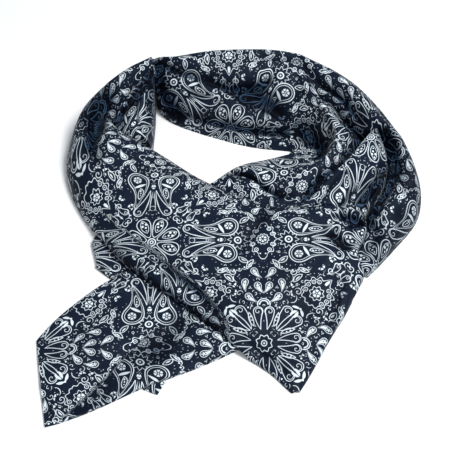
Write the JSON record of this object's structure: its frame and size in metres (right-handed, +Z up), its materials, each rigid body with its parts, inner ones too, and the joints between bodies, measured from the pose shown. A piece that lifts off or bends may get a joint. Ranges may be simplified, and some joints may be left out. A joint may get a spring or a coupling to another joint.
{
  "type": "silk scarf",
  "caption": "Silk scarf folded into a soft band and laid as an open neck loop, tails crossed in front, with a paisley line print.",
  "frame": {"origin": "centre of the bounding box on the surface that the scarf lies on", "axes": "+Z up from that surface, +Y from the crossed tails towards the back of the loop, +X to the right as seen from the tails"},
  "size_m": [0.3444, 0.3936, 0.0618],
  "materials": {
    "printed_silk": "satin silk twill, navy with a silver-white line print"
  },
  "bodies": {
    "root": {"back_stretch": "printed_silk", "left_stretch": "printed_silk", "left_inner_fold": "printed_silk", "right_stretch": "printed_silk", "right_inner_roll": "printed_silk", "right_flap": "printed_silk", "tail_over": "printed_silk", "tail_under": "printed_silk", "under_layer_left": "printed_silk", "under_layer_low": "printed_silk"}
  },
  "joints": []
}
